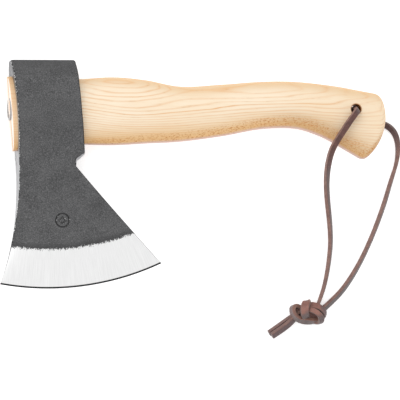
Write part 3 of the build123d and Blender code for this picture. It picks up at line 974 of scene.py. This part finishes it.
def along_path(path):
    """Unit direction of the path, and share of its length, at each of its points."""
    way = np.gradient(path, axis=0)
    way /= np.linalg.norm(way, axis=1)[:, None]
    runs = np.linalg.norm(np.diff(path, axis=0), axis=1)
    return way, np.concatenate([[0], np.cumsum(runs)]) / runs.sum()


def rolled_normals(path, roll):
    """Directions across the lace's flat side, carried back from its end and then rolled."""
    way, share = along_path(path)
    normals = [None] * len(path)
    normal = Vector((0, 0, 1))
    for i in reversed(range(len(path))):
        tangent = Vector(way[i])
        normal = (normal - tangent * normal.dot(tangent)).normalized()
        normals[i] = normal
    degrees = smooth(share, [s for s, _ in roll], [float(d) for _, d in roll])
    return [Quaternion(Vector(t), radians(d)) @ n for t, n, d in zip(way, normals, degrees)]


def lace_section():
    """The lace's cross-section as (across, through) points."""
    half_width, half_thick, r = LACE_WIDTH / 2, LACE_THICK / 2, LACE_ROUNDING
    points = []
    for turn, x, y in ((0, 1, 1), (90, -1, 1), (180, -1, -1), (270, 1, -1)):
        for step in (0, 30, 60, 90):
            a = radians(turn + step)
            points.append((x * (half_width - r) + r * cos(a), y * (half_thick - r) + r * sin(a)))
    full = []
    for (ax, ay), (bx, by) in zip(points, points[1:] + points[:1]):
        steps = 4 if hypot(bx - ax, by - ay) > 2 * r else 1
        full += [(ax + (bx - ax) * i / steps, ay + (by - ay) * i / steps) for i in range(steps)]
    return np.array(full)


def lace_mesh(name, path, normals, materials, seed, sizes=((0.0, 1.0), (1.0, 1.0))):
    """A lace of slightly uneven width along the path; its cut sides get the second material."""
    way, share = along_path(path)
    section = lace_section()
    scales = smooth(share, [at for at, _ in sizes], [size for _, size in sizes])
    rings = []
    for place, tangent, normal, scale in zip(path, way, normals, scales):
        side = Vector(tangent).cross(normal).normalized()
        at = Vector(place)
        uneven = 1 + LACE_UNEVENNESS * noise.noise(at * 220 + Vector((seed, 0, 0)))
        rings.append([at + side * (a * uneven * scale) + normal * (b / uneven * scale)
                      for a, b in section])
    lace = tube(name, rings, materials)
    sides = []
    per_ring = len(section)
    cut = np.abs(section[:, 0]) > LACE_WIDTH / 2 - LACE_ROUNDING * 0.6
    for face in lace.data.polygons:
        is_end = face.loop_total == 3
        flags = [cut[v % per_ring] for v in face.vertices if v < len(path) * per_ring]
        sides.append(1 if is_end or all(flags) else 0)
    lace.data.polygons.foreach_set("material_index", sides)
    return lace


def build_strand(name, route, roll, materials, seed):
    path = spline_points(name, route)
    return lace_mesh(name, path, rolled_normals(path, roll), materials, seed), path


def knot_normals(path):
    """The lace lies flat round the knot's core, and leans on its side along the tails."""
    way, share = along_path(path)
    lean = radians(TAIL_LEAN)
    tail = Vector((0, -cos(lean), sin(lean)))
    normals = []
    for (x, y, z), tangent, part in zip(path, way, share):
        height = KNOT_CORE[0] + KNOT_CORE[1] * float(ease(-x, 0.0015, 0.006))
        core = Vector((max(-0.005, min(0.006, x)), -0.0004, height))
        outward = (Vector((x, y, z)) - core).normalized()
        is_tail = float(ease(-x, 0.006, 0.0105) * ease(part, 0.55, 0.65))
        hint = outward.lerp(tail, is_tail)
        t = Vector(tangent)
        normals.append((hint - t * hint.dot(t)).normalized())
    for _ in range(6):
        normals = [(a + b * 2 + c).normalized() for a, b, c in
                   zip(normals[:1] + normals, normals, normals[1:] + normals[-1:])]
    return normals


def build_knot(materials):
    """Both laces wound into one knot, with two short turns inside it and their two tails."""
    shape = bmesh.new()
    laces = []
    for name, points, sizes in (("knot_front", KNOT_FRONT_LACE, KNOT_FRONT_SIZES),
                                ("knot_rear", KNOT_REAR_LACE, KNOT_REAR_SIZES)):
        path = spline_points(name, points)
        laces.append(lace_mesh(name, path, knot_normals(path), materials, len(laces), sizes))
    for points in KNOT_INNER_LACES:
        path = spline_points("knot_inner", points)
        flat = [Vector((0, 0, 1))] * len(path)
        laces.append(lace_mesh("knot_inner", path, flat, materials, len(laces)))
    for lace in laces:
        shape.from_mesh(lace.data)
    knot = laces[0]
    shape.to_mesh(knot.data)
    shape.free()
    for lace in laces[1:]:
        bpy.data.objects.remove(lace)
    knot.name = "lanyard_knot_tied"
    turn = Matrix.Translation((*KNOT_CENTRE, 0)) @ Matrix.Rotation(radians(KNOT_ANGLE), 4, "Z")
    knot.data.transform(turn)
    shade(knot.data)
    return knot


# --- set ---

def build_floor():
    s = Surface("studio_floor", roughness=0.9, specular=0.1)
    s.shader.inputs["Base Color"].default_value = (*[FLOOR_WHITE] * 3, 1)
    s.shader.inputs["Emission Color"].default_value = (1, 1, 1, 1)
    s.shader.inputs["Emission Strength"].default_value = FLOOR_GLOW
    corners = [(x * FLOOR_HALF, y * FLOOR_HALF, 0) for x, y in ((-1, -1), (1, -1), (1, 1), (-1, 1))]
    mesh_object("floor", corners, [(0, 1, 2, 3)], [s.material])


def build_light():
    """A white sky that is brighter on one side, and one softbox."""
    scene = bpy.context.scene
    scene.view_settings.view_transform = "Standard"
    world = bpy.data.worlds.new("studio")
    world.use_nodes = True
    tree = world.node_tree
    background = tree.nodes["Background"]
    background.inputs["Color"].default_value = (1, 1, 1, 1)
    way = tree.nodes.new("ShaderNodeTexCoord").outputs["Generated"]
    lean = tree.nodes.new("ShaderNodeVectorMath")
    lean.operation, lean.inputs[1].default_value = "DOT_PRODUCT", SKY_BRIGHT_WAY
    grade = tree.nodes.new("ShaderNodeMapRange")
    for place, value in enumerate((*SKY_LEANS, *SKY_STRENGTHS), 1):
        grade.inputs[place].default_value = value
    tree.links.new(way, lean.inputs[0])
    tree.links.new(lean.outputs["Value"], grade.inputs[0])
    tree.links.new(grade.outputs[0], background.inputs["Strength"])
    scene.world = world
    light = bpy.data.lights.new("softbox", "AREA")
    light.size, light.energy = SOFTBOX_SIZE, SOFTBOX_WATTS
    lamp = bpy.data.objects.new("softbox", light)
    lamp.location = SOFTBOX_PLACE
    lamp.rotation_euler = Vector(SOFTBOX_PLACE).to_track_quat("Z", "Y").to_euler()
    scene.collection.objects.link(lamp)


def build_camera():
    """The long lens looks down, a little from the blade's side and from the tongue's end."""
    side, below = radians(VIEW_SIDE), radians(VIEW_BELOW)
    back = Vector((-sin(side) * cos(below), -sin(below), cos(side) * cos(below)))
    right = Quaternion(back, radians(VIEW_ROLL)) @ Vector((0, 1, 0)).cross(back).normalized()
    up = back.cross(right)
    target = Vector((0, 0, MID_Z)) + right * FRAMING[0] + up * FRAMING[1]
    data = bpy.data.cameras.new("camera")
    data.lens, data.sensor_width = LENS, SENSOR
    camera = bpy.data.objects.new("camera", data)
    spot = target + back * (FRAME_WIDTH * LENS / SENSOR)
    camera.matrix_world = Matrix((
        (right.x, up.x, back.x, spot.x), (right.y, up.y, back.y, spot.y),
        (right.z, up.z, back.z, spot.z), (0, 0, 0, 1)))
    bpy.context.scene.collection.objects.link(camera)
    bpy.context.scene.camera = camera


# --- the hatchet ---

build_camera()
build_light()
build_floor()

lace_materials = [leather("lace_leather", "#64403a", "#4f302b", 0.3),
                  leather("lace_cut_side", "#89695f", "#6c4f48", 0.5)]
front, front_path = build_strand("lace_front", FRONT_ROUTE, FRONT_ROLL, lace_materials, 3)
rear, rear_path = build_strand("lace_rear", REAR_ROUTE, REAR_ROLL, lace_materials, 7)
knot = build_knot([leather("knot_leather", "#875a4f", "#6b443a", 0.35, 0.8,
                           0.75, 0.45),
                   leather("knot_cut_side", "#94705f", "#75554b", 0.5, 0.6, 0.5,
                           0.35)])

haft_wood = ash_wood("haft_wood", (-0.0073, -0.043), 0.00115, "#f8e8cf",
                     "#e5b878", "#f4e8e0", HAFT_BEND, HOLE)
wedge_wood = ash_wood("wedge_wood", (0.02, 0.07), 0.0012, "#e9cfa6", "#c99d63",
                      "#ecdccd")
head = build_head(forged_steel(), ground_steel())
haft = build_haft(haft_wood)
wedge = build_wooden_wedge(wedge_wood)
ring = ring_solid("ring_wedge_turned", [turned_steel()])

for piece, body, node, slot in (
        (head, "hatchet", "axe_head", "forged_steel"),
        (haft, "hatchet", "haft", "haft_wood"),
        (wedge, "hatchet", "wooden_wedge", "wedge_wood"),
        (ring, "hatchet", "ring_wedge", "ring_steel"),
        (front, "lanyard", "lanyard_front_strand", "lace_leather"),
        (rear, "lanyard", "lanyard_rear_strand", "lace_leather"),
        (knot, "lanyard", "lanyard_knot", "lace_leather")):
    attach(piece, body)
    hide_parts(node)
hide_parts("lanyard_tails")
